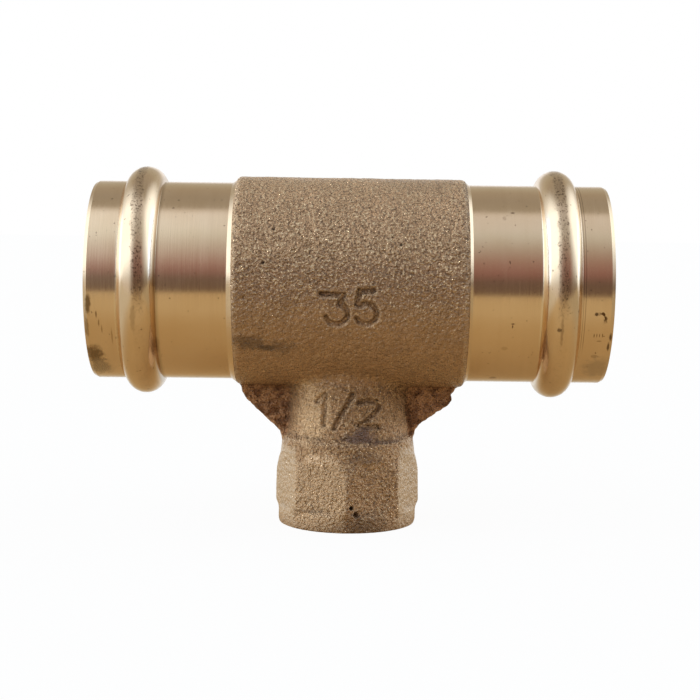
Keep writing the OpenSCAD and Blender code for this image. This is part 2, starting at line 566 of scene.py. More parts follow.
def thread_cutter():
    """Branch waterway and a right-hand pipe thread, made by moving a ringed plug's wall in and out."""
    plug_end = BRANCH_FACE + BRANCH_OVER
    line = [(0, 0), (0, BRANCH_BORE_R), (THREAD_TOP - 1.2, BRANCH_BORE_R), (THREAD_TOP, THREAD_CORE_R)]
    for i in range(1, THREAD_RINGS + 1):
        line.append((THREAD_TOP + (plug_end - THREAD_TOP) * i / THREAD_RINGS, THREAD_CORE_R))
    line.append((plug_end, 0))
    obj = turned("branch_bore", line, "Z", 96)
    co = coordinates(obj.data)
    radius = np.hypot(co[:, 0], co[:, 1])
    depth = -co[:, 2]
    wall = (radius > THREAD_CORE_R - 0.01) & (depth > THREAD_TOP - 0.01)
    around = np.arctan2(co[:, 1], co[:, 0]) / math.tau
    phase = np.mod(depth / THREAD_PITCH + around, 1.0)
    # Across one turn: 1 along the root of the groove, 0 along the crest between two grooves
    tooth = np.clip(1.32 - 4.32 * np.abs(phase - 0.5), 0, 1)
    run_out = step(THREAD_TOP + 0.6, THREAD_TOP + 3.2, depth)
    target = THREAD_CORE_R + (THREAD_MAJOR_R - THREAD_CORE_R) * tooth * run_out
    entry = THREAD_CORE_R + np.clip(depth - (BRANCH_FACE - (ENTRY_R - THREAD_CORE_R)), 0, None)
    target = np.maximum(target, entry)
    scale = np.where(wall, target / np.maximum(radius, 1e-6), 1.0)
    co[:, :2] *= scale[:, None]
    store(obj.data, co)
    return obj


def face_cutter():
    """The facing cut across the end of the branch."""
    bm = bmesh.new()
    bmesh.ops.create_cone(
        bm,
        cap_ends=True,
        segments=96,
        radius1=FACING_R * MM,
        radius2=FACING_R * MM,
        depth=FACING_DEPTH * MM,
        matrix=Matrix.Translation(Vector((0, 0, -(BRANCH_FACE + FACING_DEPTH / 2))) * MM),
    )
    return new_object("facing", bm, smooth=False)


# ---------------------------------------------------------------- nodes


class Nodes:
    """Adds nodes to one tree. A value may be a socket to link or a plain constant."""

    def __init__(self, tree):
        self.tree = tree

    def add(self, kind, **settings):
        node = self.tree.nodes.new(kind)
        for key, value in settings.items():
            setattr(node, key, value)
        return node

    def put(self, socket, value):
        if hasattr(value, "is_output"):
            self.tree.links.new(value, socket)
        else:
            socket.default_value = value

    def calc(self, how, *values):
        node = self.add("ShaderNodeMath", operation=how)
        for socket, value in zip(node.inputs, values):
            self.put(socket, value)
        return node.outputs[0]

    def plus(self, first, second):
        return self.calc("ADD", first, second)

    def minus(self, first, second):
        return self.calc("SUBTRACT", first, second)

    def larger(self, first, second):
        return self.calc("MAXIMUM", first, second)

    def away(self, value, middle=0.0):
        """How far the value is from the middle, either way."""
        return self.calc("ABSOLUTE", self.minus(value, middle) if middle else value)

    def times(self, first, *others):
        for other in others:
            first = self.calc("MULTIPLY", first, other)
        return first

    def span(self, value, low, high, to_low=0.0, to_high=1.0):
        """Maps low..high smoothly to to_low..to_high, held at both ends."""
        node = self.add("ShaderNodeMapRange", interpolation_type="SMOOTHSTEP")
        for socket, v in zip(node.inputs, (value, low, high, to_low, to_high)):
            self.put(socket, v)
        return node.outputs[0]

    def between(self, value, start, full, fade, end):
        """0 below start, 1 from full to fade, and 0 again above end."""
        return self.times(self.span(value, start, full), self.span(value, end, fade))

    def blend(self, share, first, second):
        """That share of the second colour over the first."""
        node = self.add("ShaderNodeMix", data_type="RGBA")
        self.put(node.inputs["Factor"], share)
        for socket, value in ((node.inputs[6], first), (node.inputs[7], second)):
            self.put(socket, value if hasattr(value, "is_output") else (*value, 1.0))
        return node.outputs[2]

    def coats(self, colour, coats):
        """Lays each (share, colour) over what is there already."""
        for share, coat in coats:
            colour = self.blend(share, colour, coat)
        return colour

    def mix(self, share, first, second):
        """That share of the second shader in place of the first."""
        node = self.add("ShaderNodeMixShader")
        for socket, value in zip(node.inputs, (share, first, second)):
            self.put(socket, value)
        return node.outputs[0]

    def split(self, vector):
        """The X, Y and Z of a vector."""
        node = self.add("ShaderNodeSeparateXYZ")
        self.put(node.inputs[0], vector)
        return node.outputs


class Finish(Nodes):
    """A material built node by node, with the part's own millimetres as its coordinates."""

    def __init__(self, name):
        self.material = bpy.data.materials.new(name)
        self.material.use_nodes = True
        super().__init__(self.material.node_tree)
        self.shader = self.tree.nodes["Principled BSDF"]
        scale = self.add("ShaderNodeVectorMath", operation="SCALE")
        self.put(scale.inputs[0], self.add("ShaderNodeTexCoord").outputs["Object"])
        scale.inputs["Scale"].default_value = 1 / MM
        self.mm = scale.outputs[0]
        self.x, self.y, self.z = self.split(self.mm)

    def relief(self):
        """How hollow the skin is here, as mark_relief stored it."""
        return self.add("ShaderNodeAttribute", attribute_name="relief").outputs["Fac"]

    def stretched(self, *scale):
        """The coordinates, scaled along each axis."""
        node = self.add("ShaderNodeMapping")
        self.put(node.inputs["Vector"], self.mm)
        node.inputs["Scale"].default_value = scale
        return node.outputs[0]

    def noise(self, size, detail=2.0, rough=0.5, at=None):
        """Noise whose features are about size millimetres."""
        node = self.add("ShaderNodeTexNoise")
        self.put(node.inputs["Vector"], at or self.mm)
        node.inputs["Scale"].default_value = 1.0 / size
        node.inputs["Detail"].default_value = detail
        node.inputs["Roughness"].default_value = rough
        return node.outputs["Fac"]

    def wander(self, size, reach):
        """Noise that swings round 0, half of reach either way at the most."""
        return self.times(self.minus(self.noise(size, 3.0), 0.5), reach)

    def spot(self, centre, size, ragged, ragged_size):
        """A soft ragged patch, 1 at the centre and 0 beyond its half-axes."""
        node = self.add("ShaderNodeMapping", vector_type="POINT")
        self.put(node.inputs["Vector"], self.mm)
        node.inputs["Location"].default_value = [-c / s for c, s in zip(centre, size)]
        node.inputs["Scale"].default_value = [1.0 / s for s in size]
        length = self.add("ShaderNodeVectorMath", operation="LENGTH")
        self.put(length.inputs[0], node.outputs[0])
        reach = self.plus(length.outputs["Value"], self.wander(ragged_size, ragged))
        return self.span(reach, 1.0, 0.35)

    def bump(self, height, distance, strength=1.0, under=None):
        node = self.add("ShaderNodeBump")
        node.inputs["Strength"].default_value = strength
        node.inputs["Distance"].default_value = distance * MM
        self.put(node.inputs["Height"], height)
        if under is not None:
            self.put(node.inputs["Normal"], under)
        return node.outputs[0]


# ---------------------------------------------------------------- the cast skin's finish

SKIN_BROWN = (0.322, 0.197, 0.107)
SKIN_KHAKI = (0.360, 0.220, 0.122)
# Painted light: a warmer tint on the skin below the axis, for the golden light the table sends up
UNDERSIDE_WARM_LIGHT = (0.41, 0.235, 0.112)
# Painted shade: a darker red band round the barrel at the height of its axis, where it faces the dark room
# in front
RED_BAND_SHADE = (0.255, 0.135, 0.075)
DULL_PATCH = (0.268, 0.160, 0.088)
# Painted highlight: lighter colour on the proud points of the skin
PROUD_HIGHLIGHT = (0.52, 0.38, 0.255)
# The grain's high points: lighter as blasted metal is, with painted glints on top
BRIGHT_GRAIN_AND_GLINT = (0.80, 0.61, 0.39)
DARK_GRAIN = (0.09, 0.053, 0.03)
# Painted light: paler colour on the bell's sides, for the light from the white screens beside it
BELL_SIDE_LIGHT = (0.385, 0.302, 0.208)
# Painted light: lighter colour on the front left flat, for the light from the left
LEFT_FLAT_LIGHT = (0.60, 0.44, 0.28)
DARK_LIP = (0.19, 0.11, 0.055)
# Painted shade and oxide: the webs are darker under the barrel's overhang and reddish from oxide
WEB_SHADE_UMBER = (0.18, 0.080, 0.038)
WEB_RUST = (0.43, 0.235, 0.126)
HOLLOW_DIRT = (0.08, 0.047, 0.027)
PIT_BLACK = (0.02, 0.012, 0.008)

# Marks on the cast skin as (centre, half-axes, strength, colour): stains, and painted light and painted
# shade on the lines that say so
STAINS_AND_PAINTED_LIGHT = [
    ((3.3, -12.2, -28.9), (4.4, 3.0, 2.3), 0.85, (0.150, 0.098, 0.088)),
    ((-18.2, -17.2, -10.5), (4.2, 3.0, 2.2), 0.6, (0.095, 0.062, 0.040)),
    ((-15.2, -16.9, -11.6), (2.6, 3.0, 1.0), 0.7, (0.085, 0.055, 0.036)),
    ((-12.8, -16.9, -11.2), (3.4, 3.0, 2.0), 0.5, (0.11, 0.072, 0.047)),
    # Painted shade in the crease where the neck meets the bell
    ((7.2, -10.0, -30.2), (5.0, 4.0, 0.55), 0.7, (0.10, 0.060, 0.045)),
    # Painted shadow along the foot of the spanner flats
    ((-8.2, -10.6, -43.8), (4.0, 4.0, 0.45), 0.5, (0.13, 0.080, 0.045)),
    ((-11.6, -5.0, -26.0), (1.4, 6.0, 4.0), 0.45, (0.10, 0.05, 0.028)),
    ((3.2, -12.5, -20.6), (6.5, 4.0, 1.6), 0.55, (0.30, 0.175, 0.09)),
    # Painted light on the left of the neck
    ((-7.0, -9.8, -24.6), (5.2, 6.0, 8.4), 0.6, (0.66, 0.47, 0.285)),
    # Painted highlight along the top of the front left flat
    ((-5.4, -12.2, -33.6), (6.0, 4.0, 1.5), 0.6, (0.74, 0.55, 0.37)),
    # Painted shade along the top of the front right flat
    ((3.8, -12.7, -33.2), (5.4, 3.0, 1.5), 0.4, (0.16, 0.10, 0.07)),
    # Painted shade low on the front right of the branch
    ((4.0, -12.5, -46.0), (7.0, 4.0, 2.6), 0.5, (0.14, 0.085, 0.048)),
    # Painted light on the neck's upper left, below the barrel
    ((-8.3, -8.5, -20.6), (4.2, 5.0, 2.8), 0.55, (0.66, 0.47, 0.285)),
    ((15.4, 0.0, -24.5), (4.0, 5.0, 4.5), 0.35, (0.55, 0.31, 0.18)),
    ((13.0, -6.0, 19.3), (10.0, 7.0, 3.5), 0.22, (0.20, 0.13, 0.08)),
]


def bell_sides(f):
    """The smoother left and right of the bell, up to BELL_SIDE_CALM."""
    across = f.span(f.away(f.x), *BELL_SIDE_ACROSS, 0.0, BELL_SIDE_CALM)
    return f.times(across, f.span(f.z, *BELL_SIDE_BELOW))


def webs(f):
    """The faces and edges of both webs."""
    outside_neck = f.span(f.away(f.x), 10.9, 11.8)
    height = f.between(f.z, -31.0, -29.8, -20.4, -19.6)
    return f.times(outside_neck, height, f.span(f.away(f.y), 3.2, 2.6))


def front_left_flat(f):
    """The front left spanner flat, which cast_skin paints lighter for the light from the left."""
    across = f.between(f.x, -10.2, -9.8, -0.3, 0.1)
    return f.times(across, f.span(f.z, -34.0, -34.6), f.span(f.y, -8.0, -9.0))


def skin_grain(f, smooth_side):
    """The fine grain of the shot blasting, weaker low on the barrel and on the sides of the bell."""
    grain = f.noise(0.44, 2.0, 0.55)
    low_barrel = f.times(f.span(f.z, 6.0, -10.0, 0.0, 0.55), f.span(f.z, -21.0, -18.0))
    quiet = f.larger(low_barrel, smooth_side)
    return f.plus(grain, f.times(quiet, f.minus(0.51, grain)))


def cast_skin():
    """Shot-blasted gunmetal: khaki brown, hollows dark, with the mould's stains. Painted light as well:
    highlights on proud points and grain peaks, a warmer underside, a darker red band at axis height, paler
    bell sides, a lighter front left flat, shade on the webs, and painted light and shade among the stains.
    """
    f = Finish("cast_skin")
    relief = f.relief()
    patch = f.noise(1.6, 3.0, 0.6)
    smooth_side = bell_sides(f)
    grain = skin_grain(f, smooth_side)
    web = webs(f)
    # The webs' reddish oxide, blended with a dark umber that paints the shade under the barrel
    web_rust_and_shade = f.blend(f.span(patch, 0.4, 0.62), WEB_SHADE_UMBER, WEB_RUST)
    coats = [
        # painted warm light, growing below the axis
        (f.span(f.z, 0.0, -10.0, 0.0, 0.4), UNDERSIDE_WARM_LIGHT),
        # painted shade band at axis height
        (f.times(f.between(f.z, -5.0, 0.0, 2.5, 7.5), 0.4), RED_BAND_SHADE),
        (f.span(patch, 0.38, 0.66, 0.0, 0.5), DULL_PATCH),
        # painted highlight on proud points
        (f.span(relief, -0.08, -0.5, 0.0, 0.55), PROUD_HIGHLIGHT),
        # the grain's lighter high points, partly painted glints
        (f.span(grain, 0.52, 0.63, 0.0, 0.6), BRIGHT_GRAIN_AND_GLINT),
        (f.span(grain, 0.48, 0.36, 0.0, 0.6), DARK_GRAIN),
        # painted light on the bell's sides
        (f.times(smooth_side, 0.8), BELL_SIDE_LIGHT),
        # painted light on the front left flat
        (f.times(front_left_flat(f), 0.4), LEFT_FLAT_LIGHT),
        (f.span(f.z, -44.8, -47.2, 0.0, 0.4), DARK_LIP),
        # the webs' rust with painted shade
        (f.times(web, 0.9), web_rust_and_shade),
    ]
    for centre, size, strength, tone in STAINS_AND_PAINTED_LIGHT:
        coats.append((f.times(f.spot(centre, size, 1.2, 1.3), strength), tone))
    off_web = f.minus(1.0, f.times(web, 0.7))
    coats.append((f.times(f.span(relief, 0.10, 0.6, 0.0, 0.75), off_web), HOLLOW_DIRT))
    for centre, radius, _ in PITS:
        coats.append((f.times(f.spot(centre, (radius, radius, radius), 0.5, 0.4), 0.95), PIT_BLACK))
    base = f.blend(f.span(f.noise(6.0, 3.0, 0.55), 0.35, 0.65), SKIN_BROWN, SKIN_KHAKI)
    fine = f.bump(grain, 0.65)
    coarse = f.bump(f.noise(0.80, 2.0, 0.5), 0.75, 0.9, fine)
    s = f.shader
    f.put(s.inputs["Base Color"], f.coats(base, coats))
    f.put(s.inputs["Metallic"], f.span(grain, 0.50, 0.62, 0.36, 0.85))
    f.put(s.inputs["Roughness"], f.span(grain, 0.3, 0.7, 0.38, 0.22))
    f.put(s.inputs["Normal"], coarse)
    return f.material


# ---------------------------------------------------------------- the turned bronze's finish

BRONZE = (0.85, 0.65, 0.45)
BRONZE_CLOUD = (0.83, 0.625, 0.42)
BRONZE_RING = (0.74, 0.54, 0.35)
# The crest strip's brown: partly the strip the tool missed, partly a painted reflection of the dark room in
# front of the beads
CREST_BROWN_AND_REFLECTION = (0.50, 0.36, 0.24)
STRIP_SPECK = (0.12, 0.07, 0.04)
PORE_BROWN = (0.16, 0.095, 0.055)
# Painted highlight: white on the beads' upper flanks, for the white screens they mirror
FLANK_HIGHLIGHT = (0.96, 0.92, 0.84)
# Painted highlight: cream on the beads' feet
FOOT_HIGHLIGHT = (0.95, 0.84, 0.66)
# Painted shade: brown in the inner corner of the left bead
CORNER_SHADE = (0.45, 0.32, 0.20)
GROOVE_BROWN = (0.30, 0.20, 0.12)
TICK_BROWN = (0.20, 0.12, 0.06)
RING_BROWN = (0.14, 0.08, 0.04)

# Tarnish on the turned sockets, and one painted shade, as (centre, half-axes, strength, colour)
TARNISH_AND_SHADE = [
    ((-48.1, -13.4, -13.3), (2.3, 4.0, 3.0), 0.9, (0.24, 0.16, 0.09)),
    ((-47.5, -10.5, -16.2), (2.9, 6.0, 3.0), 0.85, (0.42, 0.33, 0.24)),
    ((-48.6, -18.9, -3.3), (0.7, 3.0, 2.7), 0.9, (0.22, 0.14, 0.07)),
    ((-49.0, -17.5, -8.0), (0.5, 4.0, 3.0), 0.7, (0.34, 0.22, 0.11)),
    ((-47.1, -18.3, -5.6), (0.22, 3.0, 1.0), 0.8, (0.26, 0.16, 0.08)),
    ((-46.7, -17.9, -7.0), (0.20, 3.0, 0.9), 0.7, (0.28, 0.18, 0.09)),
    ((-46.2, -17.4, -8.3), (0.20, 3.0, 1.1), 0.6, (0.32, 0.21, 0.11)),
    ((-44.4, -16.6, -9.6), (0.25, 3.0, 2.6), 0.55, (0.42, 0.28, 0.14)),
    ((46.1, -18.7, -4.35), (0.45, 3.0, 0.45), 0.9, (0.10, 0.06, 0.03)),
    ((46.9, -17.0, -9.5), (0.6, 3.0, 0.16), 0.6, (0.22, 0.14, 0.07)),
    ((49.1, -17.2, -8.7), (0.4, 3.0, 1.0), 0.9, (0.12, 0.07, 0.035)),
    ((48.8, -16.2, -10.6), (0.3, 3.0, 1.1), 0.85, (0.14, 0.08, 0.04)),
    ((46.5, -15.0, -12.6), (1.0, 3.0, 0.4), 0.4, (0.34, 0.22, 0.12)),
    ((47.4, -12.0, -15.6), (3.6, 5.0, 4.0), 0.5, (0.45, 0.37, 0.29)),
    ((39.5, -20.0, -7.4), (0.45, 4.0, 4.6), 0.55, (0.30, 0.20, 0.11)),
    ((39.0, -21.0, -7.1), (0.6, 3.0, 0.5), 0.8, (0.16, 0.10, 0.05)),
    ((-39.9, -20.5, -5.6), (0.7, 4.0, 3.8), 0.45, (0.36, 0.25, 0.14)),
    # Painted shade at the inner foot of the left bead
    ((-36.4, -16.5, -11.6), (1.0, 5.0, 2.6), 0.5, (0.30, 0.19, 0.10)),
    ((30.6, -18.1, -6.35), (0.5, 3.0, 0.2), 0.85, (0.16, 0.09, 0.045)),
    ((30.6, -18.0, -6.9), (0.18, 3.0, 0.5), 0.85, (0.16, 0.09, 0.045)),
    ((30.6, -13.1, 14.2), (0.6, 3.0, 0.22), 0.75, (0.20, 0.12, 0.07)),
    ((29.0, -13.9, 13.2), (0.5, 3.0, 0.5), 0.35, (0.34, 0.24, 0.15)),
    ((29.3, -15.8, -11.2), (0.9, 3.0, 0.5), 0.35, (0.45, 0.31, 0.18)),
    ((28.0, -7.6, -17.7), (0.9, 3.0, 0.4), 0.6, (0.26, 0.17, 0.09)),
]
# Four short scratches in a row on the right mouth, by their place along the run
TICKS = [45.95, 46.45, 46.95, 47.5]
# Two tool grooves beside the right bead, as (place along the run, half-width)
TOOL_GROOVES = [(43.62, 0.10), (44.02, 0.12)]


def crest_strip(f):
    """The strip on each bead's crest that the tool missed, darkened as well by a painted reflection of the
    dark room in front.
    """
    drift = f.times(f.larger(f.z, 0.0), f.span(f.x, -5.0, 5.0, 0.055, 0.0))
    off_crest = f.minus(f.away(f.x, 0.3), f.plus(drift, 39.25))
    strip = f.span(f.away(f.plus(off_crest, f.wander(1.6, 1.5))), 1.2, 0.7)
    broken = f.span(f.noise(4.2, 2.0), 0.32, 0.52, 0.5, 1.0)
    return f.times(strip, broken, f.span(f.z, -6.0, 0.5, 0.12, 1.0))


def bead_coats(f):
    """Painted highlights on the flanks and feet of the beads, and painted shade in the inner corner of the
    left one.
    """
    past = f.minus(f.away(f.x), BEAD_X)
    flanks = f.between(f.away(past), 2.3, 2.9, 3.62, 3.72)
    flanks = f.times(flanks, f.between(f.z, 0.0, 3.5, 11.0, 15.5))
    right_foot = f.times(f.between(past, -4.1, -3.8, -3.4, -3.1), f.span(f.x, 0.0, 1.0))
    right_foot = f.times(right_foot, f.between(f.z, -12.0, -8.0, 8.0, 13.0))
    left_foot = f.times(f.between(past, 3.2, 3.5, 3.8, 4.1), f.span(f.x, 0.0, -1.0))
    left_foot = f.times(left_foot, f.between(f.z, -16.0, -11.0, 8.0, 13.0))
    corner = f.times(f.between(past, -4.4, -3.7, -3.4, -3.1), f.span(f.x, 1.0, -1.0))
    return [
        # painted highlight on the flanks
        (f.times(flanks, 0.9), FLANK_HIGHLIGHT),
        # painted highlight on the feet
        (f.times(f.larger(right_foot, left_foot), 0.55), FOOT_HIGHLIGHT),
        # painted shade in the corner
        (f.times(corner, 0.6), CORNER_SHADE),
    ]


def tool_groove(f, x, half_width):
    """A dark line round the front of the right socket."""
    line = f.span(f.away(f.x, x), half_width, 0.4 * half_width)
    return f.times(line, f.span(f.z, -13.0, -9.0))


def tarnish_ring(f, x=46.65, z=-5.3, radius=1.22, width=0.34):
    """A ragged part of a ring on the front of the right mouth, fading to the left and below."""
    dx = f.minus(f.x, x)
    dz = f.minus(f.z, z)
    reach = f.calc("SQRT", f.plus(f.times(dx, dx), f.times(dz, dz)))
    off = f.away(f.plus(f.minus(reach, radius), f.wander(0.5, 1.3)))
    ring = f.times(f.span(off, width, 0.4 * width), f.span(dx, -0.3 * radius, 0.4 * radius))
    return f.times(ring, f.span(dz, -0.9 * radius, 0.2 * radius), f.span(f.y, -5.0, -8.0))


def tooled_bronze(name, rough):
    """Bright turned gunmetal with fine tool rings, as the finish with its colour and its roughness."""
    f = Finish(name)
    f.shader.inputs["Metallic"].default_value = 1.0
    rings = f.noise(0.30, 3.0, 0.6, at=f.stretched(1.0, 0.03, 0.03))
    broad_rings = f.noise(2.2, 3.0, 0.55, at=f.stretched(1.0, 0.05, 0.05))
    cloud = f.noise(7.0, 3.0, 0.5)
    colour = f.blend(f.span(cloud, 0.35, 0.65), BRONZE, BRONZE_CLOUD)
    colour = f.blend(f.span(broad_rings, 0.45, 0.75, 0.0, 0.25), colour, BRONZE_RING)
    f.put(f.shader.inputs["Normal"], f.bump(rings, 0.02, 0.35))
    return f, colour, f.span(rings, 0.3, 0.7, rough - 0.03, rough + 0.05)


def turned_bronze():
    """The outside of the sockets: small pores, crest strips that are partly a painted reflection, tool
    grooves and tarnish near the mouths, with painted highlights on the beads and painted shade at the left
    bead's inner foot.
    """
    f, colour, roughness = tooled_bronze("turned_bronze", 0.16)
    strip = crest_strip(f)
    speck = f.span(f.noise(0.42, 2.0, 0.7), 0.53, 0.62)
    pore = f.span(f.noise(0.7, 1.0, 0.5), 0.73, 0.79)
    roughness = f.plus(roughness, f.times(strip, 0.10))
    coats = [
        # the crest strip, partly painted reflection
        (f.times(strip, 0.6), CREST_BROWN_AND_REFLECTION),
        (f.times(strip, speck, 0.8), STRIP_SPECK),
        (f.times(pore, 0.7), PORE_BROWN),
    ]
    coats += bead_coats(f)
    for x, half_width in TOOL_GROOVES:
        coats.append((f.times(tool_groove(f, x, half_width), 0.55), GROOVE_BROWN))
    for centre, size, strength, tone in TARNISH_AND_SHADE:
        mark = f.spot(centre, size, 1.1, 1.1)
        coats.append((f.times(mark, strength), tone))
        roughness = f.plus(roughness, f.times(mark, 0.12 * strength))
    for x in TICKS:
        tick = f.spot((x, -17.3, -8.4), (0.13, 3.0, 0.5), 0.8, 0.6)
        coats.append((f.times(tick, 0.8), TICK_BROWN))
    coats.append((tarnish_ring(f), RING_BROWN))
    f.put(f.shader.inputs["Base Color"], f.coats(colour, coats))
    f.put(f.shader.inputs["Roughness"], roughness)
    return f.material


def bored_bronze():
    """The bores and the thread, duller than the outside."""
    f, colour, roughness = tooled_bronze("bored_bronze", 0.27)
    f.put(f.shader.inputs["Base Color"], colour)
    f.put(f.shader.inputs["Roughness"], roughness)
    return f.material


# ---------------------------------------------------------------- the rubber's finish

RUBBER_BLACK = (0.014, 0.014, 0.015)
RUBBER_BLOOM = (0.035, 0.034, 0.033)


def ring_rubber():
    """Satin black rubber with a faint bloom."""
    f = Finish("ring_rubber")
    s = f.shader
    s.inputs["Metallic"].default_value = 0.0
    bloom = f.noise(2.5, 3.0, 0.55)
    f.put(s.inputs["Base Color"], f.blend(f.span(bloom, 0.35, 0.7), RUBBER_BLACK, RUBBER_BLOOM))
    f.put(s.inputs["Roughness"], f.span(bloom, 0.3, 0.7, 0.42, 0.58))
    f.put(s.inputs["Normal"], f.bump(f.noise(0.25, 2.0), 0.03, 0.4))
    return f.material


# ---------------------------------------------------------------- the pieces


def mark_relief(obj):
    """Stores how hollow (above 0) or proud (below 0) each point is, for the skin's finish to follow."""
    mesh = obj.data
    co = coordinates(mesh)
    pairs = np.empty(len(mesh.edges) * 2, np.int32)
    mesh.edges.foreach_get("vertices", pairs)
    pairs = pairs.reshape(-1, 2)
    count = np.maximum(np.bincount(pairs.ravel(), minlength=len(co)), 1)

    def neighbours(values):
        """The mean of the values at the points that an edge joins to each point."""
        total = np.zeros_like(values)
        for here, there in (pairs.T, pairs.T[::-1]):
            np.add.at(total, here, values[there])
        return (total.T / count).T

    hollow = np.einsum("ij,ij->i", neighbours(co) - co, vertex_normals(mesh))
    hollow = (hollow + neighbours(hollow)) / 2
    relief = mesh.attributes.new("relief", "FLOAT", "POINT")
    relief.data.foreach_set("value", np.clip(hollow / 0.06, -1, 1).astype(np.float32))


def set_edges(obj):
    """Machined corners and the borders between finishes are sharp; the rest is smooth."""
    sharp = math.radians(18)
    bm = bmesh.new()
    bm.from_mesh(obj.data)
    for e in bm.edges:
        if len(e.link_faces) == 2:
            one, two = e.link_faces
            machined = one.material_index or two.material_index
            border = one.material_index != two.material_index
            e.smooth = not (border or machined and e.calc_face_angle(0) > sharp)
    for face in bm.faces:
        face.smooth = True
    bm.to_mesh(obj.data)
    bm.free()


def tee_casting():
    """The casting: a rough skin, then the sleeves added, and the face, bores and thread cut."""
    bright = turned_bronze()
    bored = bored_bronze()
    obj = casting_blank()
    soften(obj)
    refine(obj)
    carve(obj)
    obj.data.materials.clear()
    obj.data.materials.append(cast_skin())
    for tool, how, material in (
        (sleeve(LEFT), "UNION", bright),
        (sleeve(RIGHT), "UNION", bright),
        (face_cutter(), "DIFFERENCE", bright),
        (run_cutter(), "DIFFERENCE", bored),
        (thread_cutter(), "DIFFERENCE", bored),
    ):
        tool.data.materials.append(material)
        combine(obj, tool, how)
    set_edges(obj)
    mark_relief(obj)
    obj.data.name = obj.name
    return obj


casting = tee_casting()
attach(casting, "root")
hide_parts("tee_body")

rubber = ring_rubber()
for name in ("left_seal", "right_seal"):
    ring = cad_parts[name]
    ring.data.materials.clear()
    ring.data.materials.append(rubber)

# ---------------------------------------------------------------- floor

TABLE_HALF_WIDTH = 1600
TABLE_HALF_DEPTH = 930
TABLE_NEAR_EDGE = -256
TABLE_FRONT = (0.645, 0.475, 0.262)
# Painted shadow: darker near the part, where its shadow falls
TABLE_NEAR = (0.57, 0.39, 0.187)
# Painted light: paler to the left, where the light comes from
TABLE_LEFT = (0.72, 0.64, 0.50)
# Painted shade: darker to the right, where the part's shadow falls
TABLE_RIGHT = (0.52, 0.42, 0.27)
TABLE_BACK = (0.95, 0.94, 0.90)
TABLE_BOUNCE = (0.98, 0.72, 0.40)
TABLE_WHITE = (0.9, 0.9, 0.9)
WHITE = (1, 1, 1, 1)


def sees_white(nodes, ray, behind):
    """1 for the camera's rays, and behind the part for the rays that polished metal or glass sends back."""
    mirrored = nodes.larger(ray.outputs["Is Glossy Ray"], ray.outputs["Is Transmission Ray"])
    return nodes.larger(ray.outputs["Is Camera Ray"], nodes.times(mirrored, behind))


def table_top():
    """White where sees_white says so, and elsewhere warm, as the polished metal mirrors it, with painted
    shadow near the part, painted shade to the right and painted light to the left. In metres.
    """
    material = bpy.data.materials.new("table_top")
    material.use_nodes = True
    material.node_tree.nodes.clear()
    n = Nodes(material.node_tree)
    ray = n.add("ShaderNodeLightPath")
    x, y, _ = n.split(n.add("ShaderNodeTexCoord").outputs["Object"])
    colour = n.coats(
        TABLE_FRONT,
        [
            # painted shadow near the part, painted light to the left and painted shade to the right
            (n.span(y, -0.10, -0.04), TABLE_NEAR),
            (n.span(x, -0.06, -0.16), TABLE_LEFT),
            (n.span(x, 0.06, 0.20), TABLE_RIGHT),
            (n.span(y, 0.02, 0.12), TABLE_BACK),
            (ray.outputs["Is Diffuse Ray"], TABLE_BOUNCE),
        ],
    )
    warm = n.add("ShaderNodeBsdfDiffuse")
    n.put(warm.inputs["Color"], colour)
    pale = n.add("ShaderNodeBsdfDiffuse")
    n.put(pale.inputs["Color"], (*TABLE_WHITE, 1))
    glow = n.add("ShaderNodeEmission")
    n.put(glow.inputs["Color"], WHITE)
    white = n.mix(0.95, pale.outputs[0], glow.outputs[0])
    seen = n.mix(sees_white(n, ray, n.span(y, 0.11, 0.17)), warm.outputs[0], white)
    n.put(n.add("ShaderNodeOutputMaterial").inputs["Surface"], seen)
    return material


def studio_floor():
    """A pale table top under the part, whose near edge stops short of the camera."""
    bm = bmesh.new()
    bmesh.ops.create_grid(bm, x_segments=1, y_segments=1, size=MM)
    bmesh.ops.scale(bm, verts=bm.verts, vec=(TABLE_HALF_WIDTH, TABLE_HALF_DEPTH, 1))
    place = Vector((0, TABLE_NEAR_EDGE + TABLE_HALF_DEPTH, -BRANCH_FACE)) * MM
    bmesh.ops.translate(bm, verts=bm.verts, vec=place)
    obj = new_object("studio_floor", bm, smooth=False)
    obj.data.materials.append(table_top())


# ---------------------------------------------------------------- light

# Light round the part as (degrees, colour): 0 is level to the front, 90 overhead, 180 level behind
OVERHEAD = [
    (-180, (1.05, 1.08, 1.10)),
    (-11, (0.42, 0.33, 0.20)),
    (-8.5, (0.15, 0.103, 0.078)),
    (5, (0.15, 0.105, 0.085)),
    (10, (0.21, 0.125, 0.11)),
    (15, (0.28, 0.155, 0.145)),
    (24, (0.335, 0.215, 0.20)),
    (31, (0.37, 0.27, 0.25)),
    (45, (0.465, 0.435, 0.415)),
    (60, (0.61, 0.65, 0.66)),
    (68, (0.67, 0.70, 0.73)),
    (87, (0.71, 0.725, 0.755)),
    (91.5, (0.68, 0.68, 0.68)),
    (96.5, (0.38, 0.36, 0.31)),
    (115, (0.36, 0.335, 0.29)),
    (135, (0.40, 0.36, 0.29)),
    (148, (0.46, 0.43, 0.34)),
    (160, (0.52, 0.48, 0.40)),
    (169, (0.62, 0.60, 0.55)),
    (176, (1.0, 1.02, 1.04)),
    (180, (1.05, 1.08, 1.10)),
]
